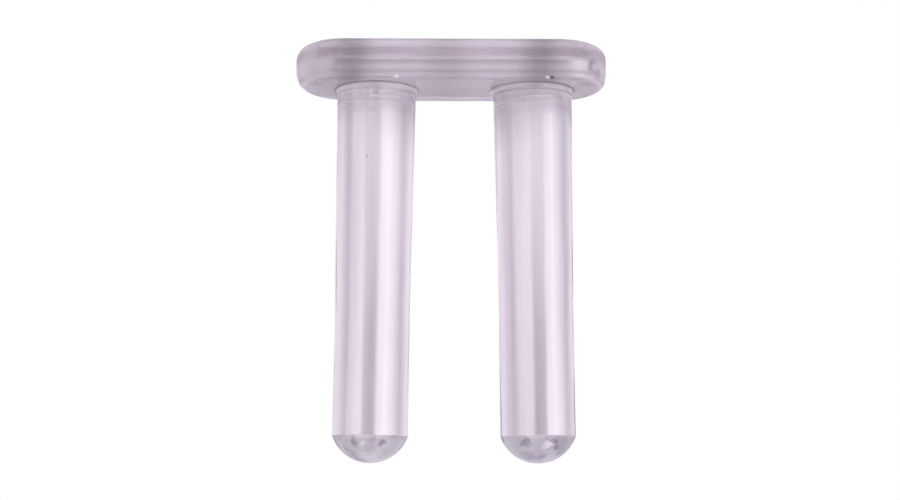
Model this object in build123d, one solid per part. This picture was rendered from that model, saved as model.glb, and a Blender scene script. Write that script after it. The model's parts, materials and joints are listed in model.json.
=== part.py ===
"""Twin-post plug in clear plastic: a stadium-shaped head plate with two round posts bonded under it.

Frame: millimetres, +Z up. The origin is the centre of the plate's flat underside, so the plate
stands above Z = 0 and the posts hang below it, side by side along X and splayed a little.
"""
import os
from math import sqrt

from build123d import *

# Head plate
plate_length = 25.2
plate_depth = 8.3
plate_thickness = 3.55
top_edge_radius = 1.3
bottom_edge_radius = 0.65

# Posts: rods with a drafted upper part, a straight lower part that fits a hole, and a domed end.
# The pair stands a little off the middle of the plate, towards +X
post_spacing = 12.65
pair_offset = 0.28
post_splay = 0.65
post_root_radius = 3.2
post_radius = 3.0
drafted_length = 18.0
straight_length = 10.0
dome_height = 2.1

# Joint between a post and the plate: a blind socket whose mouth is widened to hold the cement,
# and the cement's hollow-faced bead around the post's root
socket_depth = 2.0
cement_width = 0.25
cement_depth = 0.4
bead_height = 0.6

post_sides = {"left": -1, "right": 1}
post_end = drafted_length + straight_length
cement_radius = post_root_radius + cement_width


def post_place(side):
    """A post's own frame: its root centre on the plate's underside, its axis leaning outwards."""
    return Pos(pair_offset + side * post_spacing / 2, 0, 0) * Rot(0, -side * post_splay, 0)


def turned(build_outline):
    """The solid that an outline drawn in the XZ plane sweeps in a full turn about Z."""
    with BuildPart() as solid:
        with BuildSketch(Plane.XZ):
            with BuildLine():
                build_outline()
            make_face()
        revolve(axis=Axis.Z)
    return solid.part


def make_post():
    """One post about its own axis: bonded end, drafted part, straight part and dome."""
    tip = -post_end - dome_height
    dome_radius = (post_radius**2 + dome_height**2) / (2 * dome_height)
    half_way = post_radius / 2
    dome_middle = tip + dome_radius - sqrt(dome_radius**2 - half_way**2)

    def outline():
        Polyline((0, tip), (0, socket_depth), (post_root_radius, socket_depth), (post_root_radius, 0),
                 (post_radius, -drafted_length), (post_radius, -post_end))
        ThreePointArc((post_radius, -post_end), (half_way, dome_middle), (0, tip))

    return turned(outline)


def make_root_bead(post):
    """The ring of cement: it fills the socket's widened mouth and tapers off down the post."""
    inner = post_root_radius - cement_width

    def outline():
        Polyline((post_root_radius, -bead_height), (inner, -bead_height), (inner, cement_depth),
                 (cement_radius, cement_depth), (cement_radius, 0))
        TangentArc((post_root_radius, -bead_height), (cement_radius, 0), tangent=(0, 1))

    return turned(outline) - post


def make_head_plate():
    """Stadium plate with rounded edges and one blind socket, wider at its mouth, for each post."""
    plate = extrude(SlotOverall(plate_length, plate_depth), amount=plate_thickness)
    plate = fillet(plate.faces().sort_by(Axis.Z)[-1].edges(), top_edge_radius)
    plate = fillet(plate.faces().sort_by(Axis.Z)[0].edges(), bottom_edge_radius)
    below = -plate_thickness
    up = (Align.CENTER, Align.CENTER, Align.MIN)
    socket = Pos(0, 0, below) * Cylinder(post_root_radius, socket_depth - below, align=up)
    mouth = Pos(0, 0, below) * Cylinder(cement_radius, cement_depth - below, align=up)
    for side in post_sides.values():
        plate -= post_place(side) * (socket + mouth)
    return plate


def main():
    post = make_post()
    bead = make_root_bead(post)
    parts = {"head_plate": make_head_plate()}
    for name, side in post_sides.items():
        parts[f"{name}_post"] = post_place(side) * post
        parts[f"{name}_root_bead"] = post_place(side) * bead
    os.makedirs("parts", exist_ok=True)
    for name, shape in parts.items():
        export_step(shape, f"parts/{name}.step")


main()
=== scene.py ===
import json
from math import asin, atan2, copysign, cos, degrees, exp, pi, radians, sin, sqrt, tau
import bmesh
import bpy
from mathutils import Matrix, Quaternion, Vector, noise


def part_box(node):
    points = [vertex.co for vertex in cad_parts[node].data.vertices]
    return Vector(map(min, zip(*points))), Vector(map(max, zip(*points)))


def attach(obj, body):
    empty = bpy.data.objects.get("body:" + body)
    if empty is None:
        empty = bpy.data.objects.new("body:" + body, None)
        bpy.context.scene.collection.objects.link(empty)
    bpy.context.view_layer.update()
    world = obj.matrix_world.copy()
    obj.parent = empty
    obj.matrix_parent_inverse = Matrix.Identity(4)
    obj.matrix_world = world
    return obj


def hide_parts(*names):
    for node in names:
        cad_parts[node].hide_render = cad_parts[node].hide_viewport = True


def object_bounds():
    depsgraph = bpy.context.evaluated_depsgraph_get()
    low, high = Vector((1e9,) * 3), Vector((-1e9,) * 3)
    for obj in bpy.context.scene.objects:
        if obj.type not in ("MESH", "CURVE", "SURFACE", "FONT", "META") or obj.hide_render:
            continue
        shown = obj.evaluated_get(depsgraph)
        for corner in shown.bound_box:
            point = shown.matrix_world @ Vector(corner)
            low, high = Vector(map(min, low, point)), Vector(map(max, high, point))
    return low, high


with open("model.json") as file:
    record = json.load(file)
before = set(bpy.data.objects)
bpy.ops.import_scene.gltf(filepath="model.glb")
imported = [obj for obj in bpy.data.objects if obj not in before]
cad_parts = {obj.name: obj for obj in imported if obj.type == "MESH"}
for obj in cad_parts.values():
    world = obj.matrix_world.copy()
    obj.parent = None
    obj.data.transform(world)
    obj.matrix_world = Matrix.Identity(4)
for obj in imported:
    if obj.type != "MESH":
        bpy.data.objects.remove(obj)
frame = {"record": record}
cad_low, cad_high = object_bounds()
mm = 0.001


# ---------------------------------------------------------------- Head plate
# A thick stadium-shaped slab of clear plastic, moulded through a gate on its right-hand end, with
# a generous round on its top edge and a small one underneath. Its underside has two blind sockets
# for the posts, each with a widened mouth for the cement that holds the post.

class Socket:
    """The output of a node. Each sum or product on it adds one Math node to the same tree."""

    def __init__(self, shading, source):
        self.shading = shading
        self.source = source

    def math(self, operation, *others):
        """Puts this output, and any others after it, through one Math node."""
        return self.shading.math(operation, self, *others)

    def eased(self, start, end, low=0.0, high=1.0):
        """Goes smoothly from low, where this output is at start, to high, where it is at end."""
        return self.shading.add("ShaderNodeMapRange", {"interpolation_type": "SMOOTHSTEP"}, {
            "Value": self, "From Min": start, "From Max": end, "To Min": low, "To Max": high})["Result"]

    def __add__(self, other):
        return self.math("ADD", other)

    def __sub__(self, other):
        return self.math("SUBTRACT", other)

    def __rsub__(self, other):
        return self.shading.math("SUBTRACT", other, self)

    def __mul__(self, other):
        return self.math("MULTIPLY", other)

    __radd__ = __add__
    __rmul__ = __mul__


class Shading:
    """The nodes of a material or of the world."""

    def __init__(self, owner):
        owner.use_nodes = True
        self.tree = owner.node_tree
        self.tree.nodes.clear()

    def add(self, kind, settings, inputs):
        """Adds a node, sets it up, then gives each named or numbered input a value or a link."""
        node = self.tree.nodes.new(kind)
        for name, value in settings.items():
            if name == "stops":
                ramp = node.color_ramp.elements
                while len(ramp) < len(value):
                    ramp.new(1.0)
                for element, (place, level) in zip(ramp, value):
                    element.position = place
                    element.color = (level, level, level, 1.0)
            else:
                setattr(node, name, value)
        free = [socket for socket in node.inputs if socket.enabled]
        for name, value in inputs.items():
            socket = free[name] if isinstance(name, int) else next(s for s in free if s.name == name)
            if isinstance(value, Socket):
                self.tree.links.new(value.source, socket)
            else:
                socket.default_value = value
        return {output.name: Socket(self, output) for output in node.outputs if output.enabled}

    def math(self, operation, *values):
        return self.add("ShaderNodeMath", {"operation": operation}, dict(enumerate(values)))["Value"]

    def mottle(self, place, scale, detail):
        """Soft patches between 0 and 1, smaller where the scale is larger."""
        return self.add("ShaderNodeTexNoise", {}, {"Vector": place, "Scale": scale, "Detail": detail})["Fac"]


def mark_mask(nodes, place, spot, radius):
    """1 in the middle of a small ragged spot on the surface, fading to 0 at its edge."""
    ragged = nodes.add("ShaderNodeTexNoise", {}, {"Vector": place, "Scale": 2200.0, "Detail": 2.0})["Color"]
    raggedness = Vector((1.6, 1.6, 1.6)) * radius
    moved = nodes.add("ShaderNodeVectorMath", {"operation": "MULTIPLY_ADD"},
                      {0: ragged, 1: raggedness, 2: place})["Vector"]
    away = nodes.add("ShaderNodeVectorMath", {"operation": "DISTANCE"},
                     {0: moved, 1: spot + raggedness / 2})["Value"]
    return away.eased(radius * 0.15, radius, 1.0, 0.0)


def clear_plastic(name, pale, deep, roughness, clarity, tint_deepening, clouding=None, marks=()):
    """Glossy clear plastic: its tint deepens where tint_deepening is 1, and it is milky where clouding is 1.
    The deepening is streaks and blotches on the posts, and painted shade in the plate's bands and in the
    cement's crevice.

    Each mark is a place and a radius in mm, a colour, and how much of the plastic it hides. Some marks are
    painted highlights and painted shadows."""
    material = bpy.data.materials.new(name)
    nodes = Shading(material)
    place = nodes.add("ShaderNodeTexCoord", {}, {})["Object"]
    swell = nodes.mottle(place, 260.0, 1.0)
    grain = nodes.mottle(place, 1500.0, 3.0)
    bump = nodes.add("ShaderNodeBump", {}, {
        "Strength": 0.25, "Distance": 0.06 * mm, "Height": swell * 0.85 + grain * 0.15})["Normal"]
    tint = nodes.add("ShaderNodeMix", {"data_type": "RGBA"}, {
        "Factor": tint_deepening(nodes, place), "A": (*pale, 1.0), "B": (*deep, 1.0)})["Result"]
    surface = nodes.add("ShaderNodeBsdfPrincipled", {}, {
        "Base Color": tint,
        "Roughness": roughness * 0.6 + grain * (roughness * 0.8),
        "IOR": 1.49,
        "Transmission Weight": clarity,
        "Normal": bump,
    })["BSDF"]
    if clouding:
        milky = nodes.add("ShaderNodeBsdfPrincipled", {}, {"Base Color": tint, "Roughness": 0.4})["BSDF"]
        surface = nodes.add("ShaderNodeMixShader", {}, {
            "Fac": clouding(nodes, place), 1: surface, 2: milky})["Shader"]
    for spot, radius, colour, cover in marks:
        fleck_or_painted_light = nodes.add("ShaderNodeBsdfPrincipled", {}, {
            "Base Color": (*colour, 1.0), "Roughness": 0.5})["BSDF"]
        surface = nodes.add("ShaderNodeMixShader", {}, {
            "Fac": mark_mask(nodes, place, spot * mm, radius * mm) * cover, 1: surface, 2: fleck_or_painted_light})["Shader"]
    nodes.add("ShaderNodeOutputMaterial", {}, {"Surface": surface})
    return material


def plate_shade_bands(nodes, place):
    """Painted shade: three broad darker bands across the plate, the outer two over the posts, carrying the
    posts' dark middle bands up into it. The middle one is faint.
    """
    spacing, off_centre, wander = 7.65, 0.45, 0.8
    parts = nodes.add("ShaderNodeSeparateXYZ", {}, {"Vector": place})
    warp = nodes.mottle(place, 300.0, 1.0) * (2 * wander) - wander
    along = parts["X"] * (1 / mm) + off_centre + warp
    wave = (along * (tau / spacing)).math("COSINE") * 0.5 + 0.5
    outer = (along.math("ABSOLUTE") * (1 / spacing)).math("MINIMUM", 1.0)
    return wave * wave * (outer * 0.6 + 0.4)


def highlight_line_and_milky_ends(nodes, place):
    """A thin milky line low on the wall, on the small round underneath, which is a painted highlight; and
    slightly milky ends.
    """
    highlight_height = 0.24 * mm
    parts = nodes.add("ShaderNodeSeparateXYZ", {}, {"Vector": place})
    line = (parts["Z"] - highlight_height).math("ABSOLUTE").eased(0.04 * mm, 0.17 * mm, 0.45, 0.0)
    ends = parts["X"].math("ABSOLUTE").eased(10.0 * mm, 12.0 * mm, 0.0, 0.42)
    return line + ends


def bonded_faces():
    """Faces where the plastic is welded to its neighbour, so that light runs straight through."""
    material = bpy.data.materials.new("bonded_face")
    nodes = Shading(material)
    welded = nodes.add("ShaderNodeBsdfPrincipled", {}, {"Alpha": 0.0, "IOR": 1.0})["BSDF"]
    nodes.add("ShaderNodeOutputMaterial", {}, {"Surface": welded})
    return material


def finished(bm, name, materials, cad_node):
    """Makes the piece's object from its bmesh and puts it in the frame."""
    mesh = bpy.data.meshes.new(name)
    bm.to_mesh(mesh)
    bm.free()
    for material in materials:
        mesh.materials.append(material)
    piece = bpy.data.objects.new(name, mesh)
    bpy.context.scene.collection.objects.link(piece)
    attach(piece, "root")
    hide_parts(cad_node)
    return piece


def post_frame(side):
    """A post's own frame, from its mount: its root on the plate's underside, its axis along -Z."""
    mount = next(m for m in frame["record"]["mounts"] if m["name"] == f"post_{side}")
    along = Vector(mount["axis"])
    middle = Vector(mount["pos_m"])
    root = middle - along * (middle.z / along.z)
    return Matrix.Translation(root) @ Vector((0, 0, -1)).rotation_difference(along).to_matrix().to_4x4()


top_edge_radius = 1.3 * mm
bottom_edge_radius = 0.65 * mm
socket_radius = 3.2 * mm
socket_depth = 2.0 * mm
cement_radius = 3.45 * mm
cement_depth = 0.4 * mm
around_plate = 144
along_straight = 24
up_wall = 8
around_post = 96
same_place = 1e-7
clear, bonded = 0, 1

plate_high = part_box("head_plate")[1]
half_depth = plate_high.y
half_straight = plate_high.x - half_depth
wall_low = bottom_edge_radius
wall_high = plate_high.z - top_edge_radius
post_frames = {side: post_frame(side) for side in ("left", "right")}

# The slab: a circle drawn out into a stadium, raised to its height, with both edges rounded.
bm = bmesh.new()
half_a_step = Matrix.Rotation(pi / around_plate, 4, "Z")
outline = bmesh.ops.create_circle(bm, radius=half_depth, segments=around_plate, matrix=half_a_step)
for vertex in outline["verts"]:
    vertex.co.x += copysign(half_straight, vertex.co.x)
straights = [edge for edge in bm.edges if edge.calc_length() > half_straight]
bmesh.ops.subdivide_edges(bm, edges=straights, cuts=along_straight - 1)
underside = bmesh.ops.contextual_create(bm, geom=list(bm.edges))["faces"][0]
raised = bmesh.ops.extrude_face_region(bm, geom=[underside])["geom"]
top_vertices = [part for part in raised if isinstance(part, bmesh.types.BMVert)]
bmesh.ops.translate(bm, verts=top_vertices, vec=(0, 0, plate_high.z))
for level, radius, segments in ((plate_high.z, top_edge_radius, 14), (0.0, bottom_edge_radius, 8)):
    rim = [edge for edge in bm.edges if all(abs(v.co.z - level) < same_place for v in edge.verts)]
    bmesh.ops.bevel(bm, geom=rim, offset=radius, offset_type="OFFSET", segments=segments,
                    profile=0.5, affect="EDGES", material=-1, clamp_overlap=False)
uprights = []
for edge in bm.edges:
    rise = abs(edge.verts[0].co.z - edge.verts[1].co.z)
    if abs(rise - (wall_high - wall_low)) < same_place:
        uprights.append(edge)
bmesh.ops.subdivide_edges(bm, edges=uprights, cuts=up_wall - 1, use_grid_fill=True)


def on_right_end(angle, height):
    """A place on the wall of the plate's right-hand end, at an angle in degrees from +X."""
    turn = radians(angle)
    return Vector((half_straight + half_depth * cos(turn), half_depth * sin(turn), height))


taper_height = 1.5 * mm
left_taper = 0.55 * mm
right_taper = 0.35 * mm
right_shoulder = 0.45 * mm
wall_sink = 0.020 * mm
gate = on_right_end(-47, 1.25 * mm)
gate_tail = on_right_end(-35, 0.80 * mm)
dimples = ((gate, 0.20 * mm, 0.60 * mm), (gate_tail, 0.10 * mm, 0.45 * mm))


def moulded_shift(point, end):
    """How far the moulding stands out from a plain slab. End is 0 at the straights, 1 at the tips.

    The ends taper in at the bottom, the right one is fuller at its top edge, and the wall has
    sunk a little between its edges, and in two dimples at the gate."""
    taper = left_taper if point.x < 0 else right_taper
    shift = -end * taper * max(0.0, 1 - point.z / taper_height)**2
    if point.x > 0 and point.z > wall_high:
        rise = (point.z - wall_high) / top_edge_radius
        shift += end * right_shoulder * rise * rise * (1 - rise)
    if wall_low < point.z < wall_high:
        sunk = sin(pi * (point.z - wall_low) / (wall_high - wall_low))**2
        shift -= wall_sink * sunk * (0.8 + 0.6 * noise.noise(point * 450))
        for middle, depth, reach in dimples:
            shift -= depth * max(0.0, 1 - (point - middle).length / reach)
    return shift


for vertex in bm.verts:
    point = vertex.co
    hub = Vector((max(-half_straight, min(half_straight, point.x)), 0, point.z))
    outward = (point - hub).normalized()
    end = max(0.0, abs(point.x) - half_straight) / half_depth
    vertex.co = point + outward * moulded_shift(point, end)

# The underside is the largest of the lowest faces. It is cut away and filled again round the
# mouths of the sockets, and each mouth is then extruded up, first as wide as the cement.
underside = min(bm.faces, key=lambda face: (round(face.calc_center_median().z, 7), -face.calc_area()))
underside_edges = list(underside.edges)
bmesh.ops.delete(bm, geom=[underside], context="FACES_ONLY")
mouths = []
for place in post_frames.values():
    along = place.to_3x3() @ Vector((0, 0, 1))
    ring = bmesh.ops.create_circle(bm, radius=cement_radius, segments=around_post, matrix=place)["verts"]
    for vertex in ring:
        vertex.co -= along * (vertex.co.z / along.z)
    edges = list(dict.fromkeys(edge for vertex in ring for edge in vertex.link_edges))
    mouths.append((place, edges))
    underside_edges += edges
bmesh.ops.triangle_fill(bm, edges=underside_edges, use_beauty=True)
for face in bm.faces:
    face.material_index = clear
socket_steps = ((cement_radius, cement_depth), (socket_radius, cement_depth), (socket_radius, socket_depth))
for place, edges in mouths:
    back = place.inverted()
    for radius, height in socket_steps:
        step = bmesh.ops.extrude_edge_only(bm, edges=edges)["geom"]
        for vertex in (part for part in step if isinstance(part, bmesh.types.BMVert)):
            local = back @ vertex.co
            local.z = 0
            local = local.normalized() * radius
            vertex.co = place @ Vector((local.x, local.y, height))
        for face in (part for part in step if isinstance(part, bmesh.types.BMFace)):
            face.material_index = bonded
        edges = [part for part in step if isinstance(part, bmesh.types.BMEdge) and len(part.link_faces) == 1]
    bmesh.ops.contextual_create(bm, geom=edges, mat_nr=bonded)
bmesh.ops.recalc_face_normals(bm, faces=bm.faces)
for face in bm.faces:
    face.smooth = True
for edge in bm.edges:
    edge.smooth = len({face.material_index for face in edge.link_faces}) == 1

white = (1.0, 1.0, 1.0)
speck = (0.05, 0.04, 0.05)
gate_grey = (0.40, 0.38, 0.46)
# The three white marks low on the front round, over the posts, are painted highlights.
plate_marks_and_highlights = [
    (Vector((-4.48, -3.96, 0.20)), 0.24, white, 1.0),
    (Vector((-4.30, -3.98, 0.22)), 0.20, white, 1.0),
    (Vector((7.92, -3.96, 0.20)), 0.26, speck, 1.0),
    (Vector((7.62, -3.96, 0.20)), 0.20, white, 1.0),
    (gate / mm, 0.80, gate_grey, 0.9),
    (gate_tail / mm, 0.60, gate_grey, 0.8),
]
# The plate's deep tint is painted shade, laid on in its bands.
plate_material = clear_plastic("clear_plate_plastic", (0.83, 0.74, 0.825), (0.48, 0.41, 0.47), 0.13, 0.78,
                               plate_shade_bands, highlight_line_and_milky_ends, plate_marks_and_highlights)
bonded_material = bonded_faces()
head_plate = finished(bm, "head_plate_moulding", (plate_material, bonded_material), "head_plate")
even = head_plate.modifiers.new("flat_faces_stay_flat", "WEIGHTED_NORMAL")
even.keep_sharp = True


# ---------------------------------------------------------------- Posts
# Two solid round rods of the same plastic, drafted a little so that they leave the mould, with
# the last stretch straight and the end domed. The top of each is cemented into its socket.

def post_streaks(nodes, place):
    """Long thin streaks down a post."""
    drawn = nodes.add("ShaderNodeVectorMath", {"operation": "MULTIPLY"},
                      {0: place, 1: (1.0, 1.0, 0.06)})["Vector"]
    return nodes.mottle(drawn, 900.0, 2.0).eased(0.30, 0.70)


def dome_marks(nodes, place):
    """Soft dark blotches on a domed end."""
    return nodes.mottle(place, 520.0, 2.0).eased(0.50, 0.66)


def root_haze(nodes, place, strength, clear_below, milky_above):
    """Milky patches round the posts' roots, thickest at their sides, that thin out downwards."""
    left, right = (post_frames[side].translation.x for side in ("left", "right"))
    parts = nodes.add("ShaderNodeSeparateXYZ", {}, {"Vector": place})
    from_pair = (parts["X"] - (left + right) / 2).math("ABSOLUTE")
    from_axis = (from_pair - (right - left) / 2).math("ABSOLUTE") * (1 / socket_radius)
    patches = nodes.mottle(place, 650.0, 1.0) * 0.7
    return parts["Z"].eased(clear_below, milky_above) * (patches + from_axis * 0.65) * strength


def smeared_cement(nodes, place):
    """A thin film of cement was wiped down the post from its root."""
    return root_haze(nodes, place, 0.8, -1.9 * mm, -0.5 * mm)


post_radius = 3.0 * mm
drafted_length = 18.0 * mm
straight_length = 10.0 * mm
dome_height = 2.1 * mm
bead_height = 0.6 * mm
post_end = drafted_length + straight_length
dome_radius = (post_radius**2 + dome_height**2) / (2 * dome_height)
dome_half_angle = asin(post_radius / dome_radius)
dome_steps = 16
post_corner = radians(15)
dulled = 2

dark_fleck = (0.10, 0.08, 0.12)
post_marks = [
    (Vector((-6.70, -3.10, -6.05)), 0.10, dark_fleck, 0.8),
    (Vector((-7.55, -2.88, -7.05)), 0.08, dark_fleck, 0.8),
]
shadow = (0.24, 0.20, 0.26)
glint = (1.0, 0.97, 1.0)
tip_marks = [
    (Vector((-7.42, -2.46, -28.62)), 0.60, shadow, 0.75),
    (Vector((-5.30, -2.50, -28.52)), 0.50, shadow, 0.7),
    (Vector((-6.90, -2.50, -28.60)), 0.45, glint, 0.5),
    (Vector((-6.40, -1.55, -29.60)), 0.95, glint, 0.5),
    (Vector((5.72, -2.48, -28.55)), 0.65, shadow, 0.7),
    (Vector((8.12, -2.55, -28.42)), 0.45, shadow, 1.0),
    (Vector((8.28, -2.10, -29.00)), 0.40, shadow, 0.8),
    (Vector((7.50, -2.45, -28.72)), 0.60, glint, 0.6),
]
post_material = clear_plastic("clear_post_plastic", (1.0, 0.925, 1.0), (0.86, 0.78, 0.88), 0.04, 0.95,
                              post_streaks, smeared_cement, post_marks)
dome_material = clear_plastic("dulled_dome_plastic", (0.96, 0.91, 1.0), (0.60, 0.54, 0.64), 0.20, 0.86,
                              dome_marks, marks=tip_marks)


def radius_at(height):
    """The post's radius at a height in its own frame, where the root is at zero."""
    return post_radius + (socket_radius - post_radius) * max(0.0, min(1.0, 1 + height / drafted_length))


drawn_depth = {"left": 0.010, "right": 0.018}
wave_fade = 4 * mm


def drawn_in(point, side, place):
    """The part of its radius that the post keeps at a point: it is faintly wavy along its length."""
    at = Vector((point.x * 800, point.y * 800, point.z * 70 + place.translation.x * 900))
    faded_in = min(1.0, (-point.z - bead_height) / wave_fade)
    return 1 - drawn_depth[side] * faded_in * (0.5 + 0.25 * noise.noise(at) + 0.25 * noise.noise(at * 2.4))


for side, place in post_frames.items():
    bm = bmesh.new()
    heights = [0.0, -bead_height] + [-step * mm for step in range(1, round(post_end / mm) + 1)]
    profile = [Vector((0, 0, socket_depth)), Vector((socket_radius, 0, socket_depth))]
    profile += [Vector((radius_at(height), 0, height)) for height in heights]
    for step in range(1, dome_steps + 1):
        angle = dome_half_angle * (1 - step / dome_steps)
        drop = dome_height - dome_radius * (1 - cos(angle))
        profile.append(Vector((dome_radius * sin(angle), 0, -post_end - drop)))
    chain = [bm.verts.new(point) for point in profile]
    line = [bm.edges.new(pair) for pair in zip(chain, chain[1:])]
    bmesh.ops.spin(bm, geom=chain + line, cent=(0, 0, 0), axis=(0, 0, 1), angle=tau,
                   steps=around_post, use_merge=True)
    bmesh.ops.remove_doubles(bm, verts=bm.verts, dist=same_place)
    bmesh.ops.recalc_face_normals(bm, faces=bm.faces)
    for face in bm.faces:
        face.smooth = True
        middle = face.calc_center_median().z
        face.material_index = bonded if middle > -bead_height else dulled if middle < -post_end else clear
    for edge in bm.edges:
        edge.smooth = edge.calc_face_angle(0) < post_corner
    for vertex in bm.verts:
        if vertex.co.z < -bead_height:
            shrink = drawn_in(vertex.co, side, place)
            vertex.co.x *= shrink
            vertex.co.y *= shrink
    bmesh.ops.transform(bm, matrix=place, verts=bm.verts)
    post = finished(bm, f"{side}_post_rod", (post_material, bonded_material, dome_material), f"{side}_post")


# ---------------------------------------------------------------- Root beads
# The clear cement that bonds a post: it fills the widened mouth of the socket, and the little
# that was squeezed out stands round the post's root as a hollow-faced bead, dried milky in
# patches. On the right-hand bead one blob was left standing out.

def crevice_shade(nodes, place):
    """Darker in the crevice where the cement meets the plate's underside."""
    height = nodes.add("ShaderNodeSeparateXYZ", {}, {"Vector": place})["Z"]
    return height.eased(-0.15 * mm, -0.03 * mm)


def cement_haze(nodes, place):
    """The cement has dried milky."""
    return root_haze(nodes, place, 0.65, -bead_height, -bead_height / 2)


flare_steps = 20
bead_corner = radians(25)
grain_depth = 0.015 * mm
blob_depth = 0.34 * mm
blob_direction = 195
blob_spread = 16
bead_marks = [(Vector((3.16, -1.00, -0.30)), 0.42, white, 1.0)]
bead_material = clear_plastic("clear_cement", (1.0, 0.93, 1.0), (0.30, 0.26, 0.31), 0.08, 0.95,
                              crevice_shade, cement_haze, bead_marks)


def bead_swell(point, side, place):
    """How far the bead stands out past its plain flare, which it keeps to at its top and its foot."""
    uneven = 0.5 + 0.5 * noise.noise(point * 600 + place.translation * 3000)
    off_blob = (degrees(atan2(point.y, point.x)) % 360 - blob_direction) / blob_spread
    blob = exp(-off_blob**2) if side == "right" else 0.0
    hang = -point.z / bead_height
    return (grain_depth * uneven + blob_depth * blob) * (hang * (1 - hang) * 4)**2


for side, place in post_frames.items():
    bm = bmesh.new()
    inner = radius_at(-bead_height)
    section = [Vector((inner, 0, -bead_height)), Vector((socket_radius, 0, 0)),
               Vector((socket_radius, 0, cement_depth)), Vector((cement_radius, 0, cement_depth))]
    for step in range(flare_steps):
        angle = radians(90) * step / flare_steps
        reach = cement_radius - (cement_radius - inner) * sin(angle)
        section.append(Vector((reach, 0, -bead_height * (1 - cos(angle)))))
    chain = [bm.verts.new(point) for point in section]
    line = [bm.edges.new(pair) for pair in zip(chain, chain[1:] + chain[:1])]
    bmesh.ops.spin(bm, geom=chain + line, cent=(0, 0, 0), axis=(0, 0, 1), angle=tau,
                   steps=around_post, use_merge=True)
    bmesh.ops.remove_doubles(bm, verts=bm.verts, dist=same_place)
    bmesh.ops.recalc_face_normals(bm, faces=bm.faces)
    for face in bm.faces:
        middle = face.calc_center_median()
        looks_outward = middle.x * face.normal.x + middle.y * face.normal.y > 0
        face.smooth = True
        face.material_index = clear if middle.z < 0 and looks_outward else bonded
    for edge in bm.edges:
        edge.smooth = edge.calc_face_angle(0) < bead_corner
    for vertex in bm.verts:
        reach = sqrt(vertex.co.x**2 + vertex.co.y**2)
        if vertex.co.z < -0.01 * mm and reach > radius_at(vertex.co.z) + 0.002 * mm:
            grown = 1 + bead_swell(vertex.co, side, place) / reach
            vertex.co.x *= grown
            vertex.co.y *= grown
    bmesh.ops.transform(bm, matrix=place, verts=bm.verts)
    bead = finished(bm, f"{side}_root_cement", (bead_material, bonded_material), f"{side}_root_bead")


# ---------------------------------------------------------------- Floor, light and camera
# A plain pale floor well below the part, and a studio that is plain white to look at but has
# softer bands all round it for the clear plastic to bend. Two very broad suns, one overhead and
# one in front, fill in the shade.

floor_drop = 0.2
floor_reach = 3.0
bm = bmesh.new()
bmesh.ops.create_grid(bm, x_segments=1, y_segments=1, size=floor_reach,
                      matrix=Matrix.Translation((0, 0, -floor_drop)))
floor_mesh = bpy.data.meshes.new("floor")
bm.to_mesh(floor_mesh)
bm.free()
floor = bpy.data.objects.new("floor", floor_mesh)
bpy.context.scene.collection.objects.link(floor)
floor_material = bpy.data.materials.new("pale_floor")
nodes = Shading(floor_material)
paint = nodes.add("ShaderNodeBsdfPrincipled", {}, {
    "Base Color": (0.85, 0.82, 0.87, 1.0),
    "Roughness": 0.7,
    "Emission Color": (1.0, 1.0, 1.0, 1.0),
    "Emission Strength": 0.04,
})["BSDF"]
nodes.add("ShaderNodeOutputMaterial", {}, {"Surface": paint})
floor_mesh.materials.append(floor_material)


def level_by_angle(nodes, angle, levels):
    """The brightness at an angle from -90 to 90 degrees, from pairs of an angle and its brightness."""
    stops = [((degree + 90) / 180, level) for degree, level in levels]
    return nodes.add("ShaderNodeValToRGB", {"stops": stops}, {"Fac": (angle + 90.0) * (1 / 180)})["Color"]


# The bands go round the studio, the same in front as behind. The backdrop, which is the strip
# straight behind or in front, has its own brightness up its height, and the ceiling is dimmer.
band_levels = ((-90, 0.56), (-80, 0.62), (-66, 0.92), (-50, 0.80), (-37, 0.62), (-30, 0.78), (-16, 1.12),
               (-9, 0.95), (-3, 0.62), (1, 0.60), (4, 0.72), (9, 0.86), (14, 0.84), (22, 0.76),
               (29, 0.56), (36, 0.68), (45, 0.78), (66, 0.80), (80, 0.58), (90, 0.56))
backdrop_levels = ((-90, 0.50), (2, 0.42), (6, 0.50), (9, 0.62), (12, 0.72), (90, 0.72))
world = bpy.data.worlds.new("studio")
bpy.context.scene.world = world
nodes = Shading(world)
direction = nodes.add("ShaderNodeTexCoord", {}, {})["Generated"]
parts = nodes.add("ShaderNodeSeparateXYZ", {}, {"Vector": direction})
azimuth = parts["X"].math("ARCTAN2", parts["Y"]) * degrees(1)
half_turn = azimuth.math("WRAP", 90.0, -90.0)
elevation = parts["Z"].math("ARCSINE") * degrees(1)
bands = level_by_angle(nodes, half_turn, band_levels)
backdrop = level_by_angle(nodes, elevation, backdrop_levels)
behind = half_turn.math("ABSOLUTE").eased(3.0, 9.0, 1.0, 0.0)
ceiling = elevation.eased(12.6, 16.0)
level = (bands * (1 - behind) + backdrop * behind) * (1 - ceiling) + ceiling * (0.26 + bands * 0.3)
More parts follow.
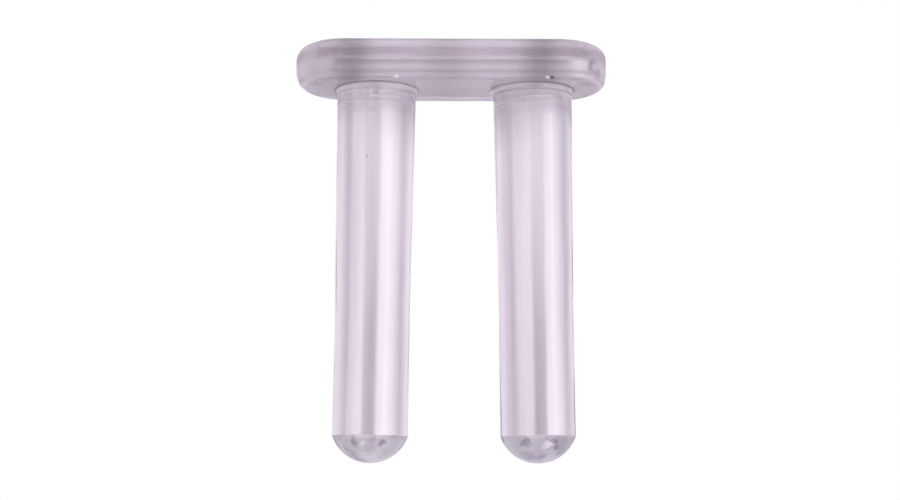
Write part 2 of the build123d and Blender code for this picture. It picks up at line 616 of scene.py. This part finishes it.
hue = nodes.add("ShaderNodeMix", {"data_type": "RGBA"}, {
    "Factor": ceiling, "A": (0.99, 0.96, 1.0, 1.0), "B": (0.95, 0.92, 1.0, 1.0)})["Result"]
studio = nodes.add("ShaderNodeBackground", {}, {"Color": hue, "Strength": level})["Background"]
plain = nodes.add("ShaderNodeBackground", {}, {"Color": (1.0, 1.0, 1.0, 1.0), "Strength": 1.0})["Background"]
looked_at = nodes.add("ShaderNodeLightPath", {}, {})["Is Camera Ray"]
surroundings = nodes.add("ShaderNodeMixShader", {}, {"Fac": looked_at, 1: studio, 2: plain})["Shader"]
nodes.add("ShaderNodeOutputWorld", {}, {"Surface": surroundings})

centre = (cad_low + cad_high) / 2
for name, place, strength, spread in (
    ("overhead_light", Vector((-0.15, -0.20, 0.60)), 0.9, radians(60)),
    ("front_fill", Vector((0.25, -0.80, 0.20)), 0.8, radians(75)),
):
    sun = bpy.data.lights.new(name, "SUN")
    sun.energy = strength
    sun.angle = spread
    lamp = bpy.data.objects.new(name, sun)
    lamp.location = place
    lamp.rotation_mode = "QUATERNION"
    lamp.rotation_quaternion = (centre - place).to_track_quat("-Z", "Y")
    bpy.context.scene.collection.objects.link(lamp)

view_azimuth = radians(-0.41)
view_elevation = radians(-8.65)
view_roll = radians(-0.108)
view_distance = 144.7 * mm
aim = centre + Vector((-0.07, -0.13, 0.16)) * mm
level_reach = cos(view_elevation)
to_camera = Vector((sin(view_azimuth) * level_reach, -cos(view_azimuth) * level_reach, sin(view_elevation)))
lens = bpy.data.cameras.new("camera")
lens.lens = 72.2
lens.sensor_width = 36.0
lens.clip_start = 0.005
lens.clip_end = 20.0
camera = bpy.data.objects.new("camera", lens)
camera.location = aim + to_camera * view_distance
camera.rotation_mode = "QUATERNION"
camera.rotation_quaternion = (-to_camera).to_track_quat("-Z", "Y") @ Quaternion((0, 0, 1), -view_roll)
bpy.context.scene.collection.objects.link(camera)
bpy.context.scene.camera = camera
bpy.context.scene.view_settings.view_transform = "Standard"
light_paths = bpy.context.scene.cycles
light_paths.max_bounces = 32
light_paths.transmission_bounces = 32
light_paths.transparent_max_bounces = 32
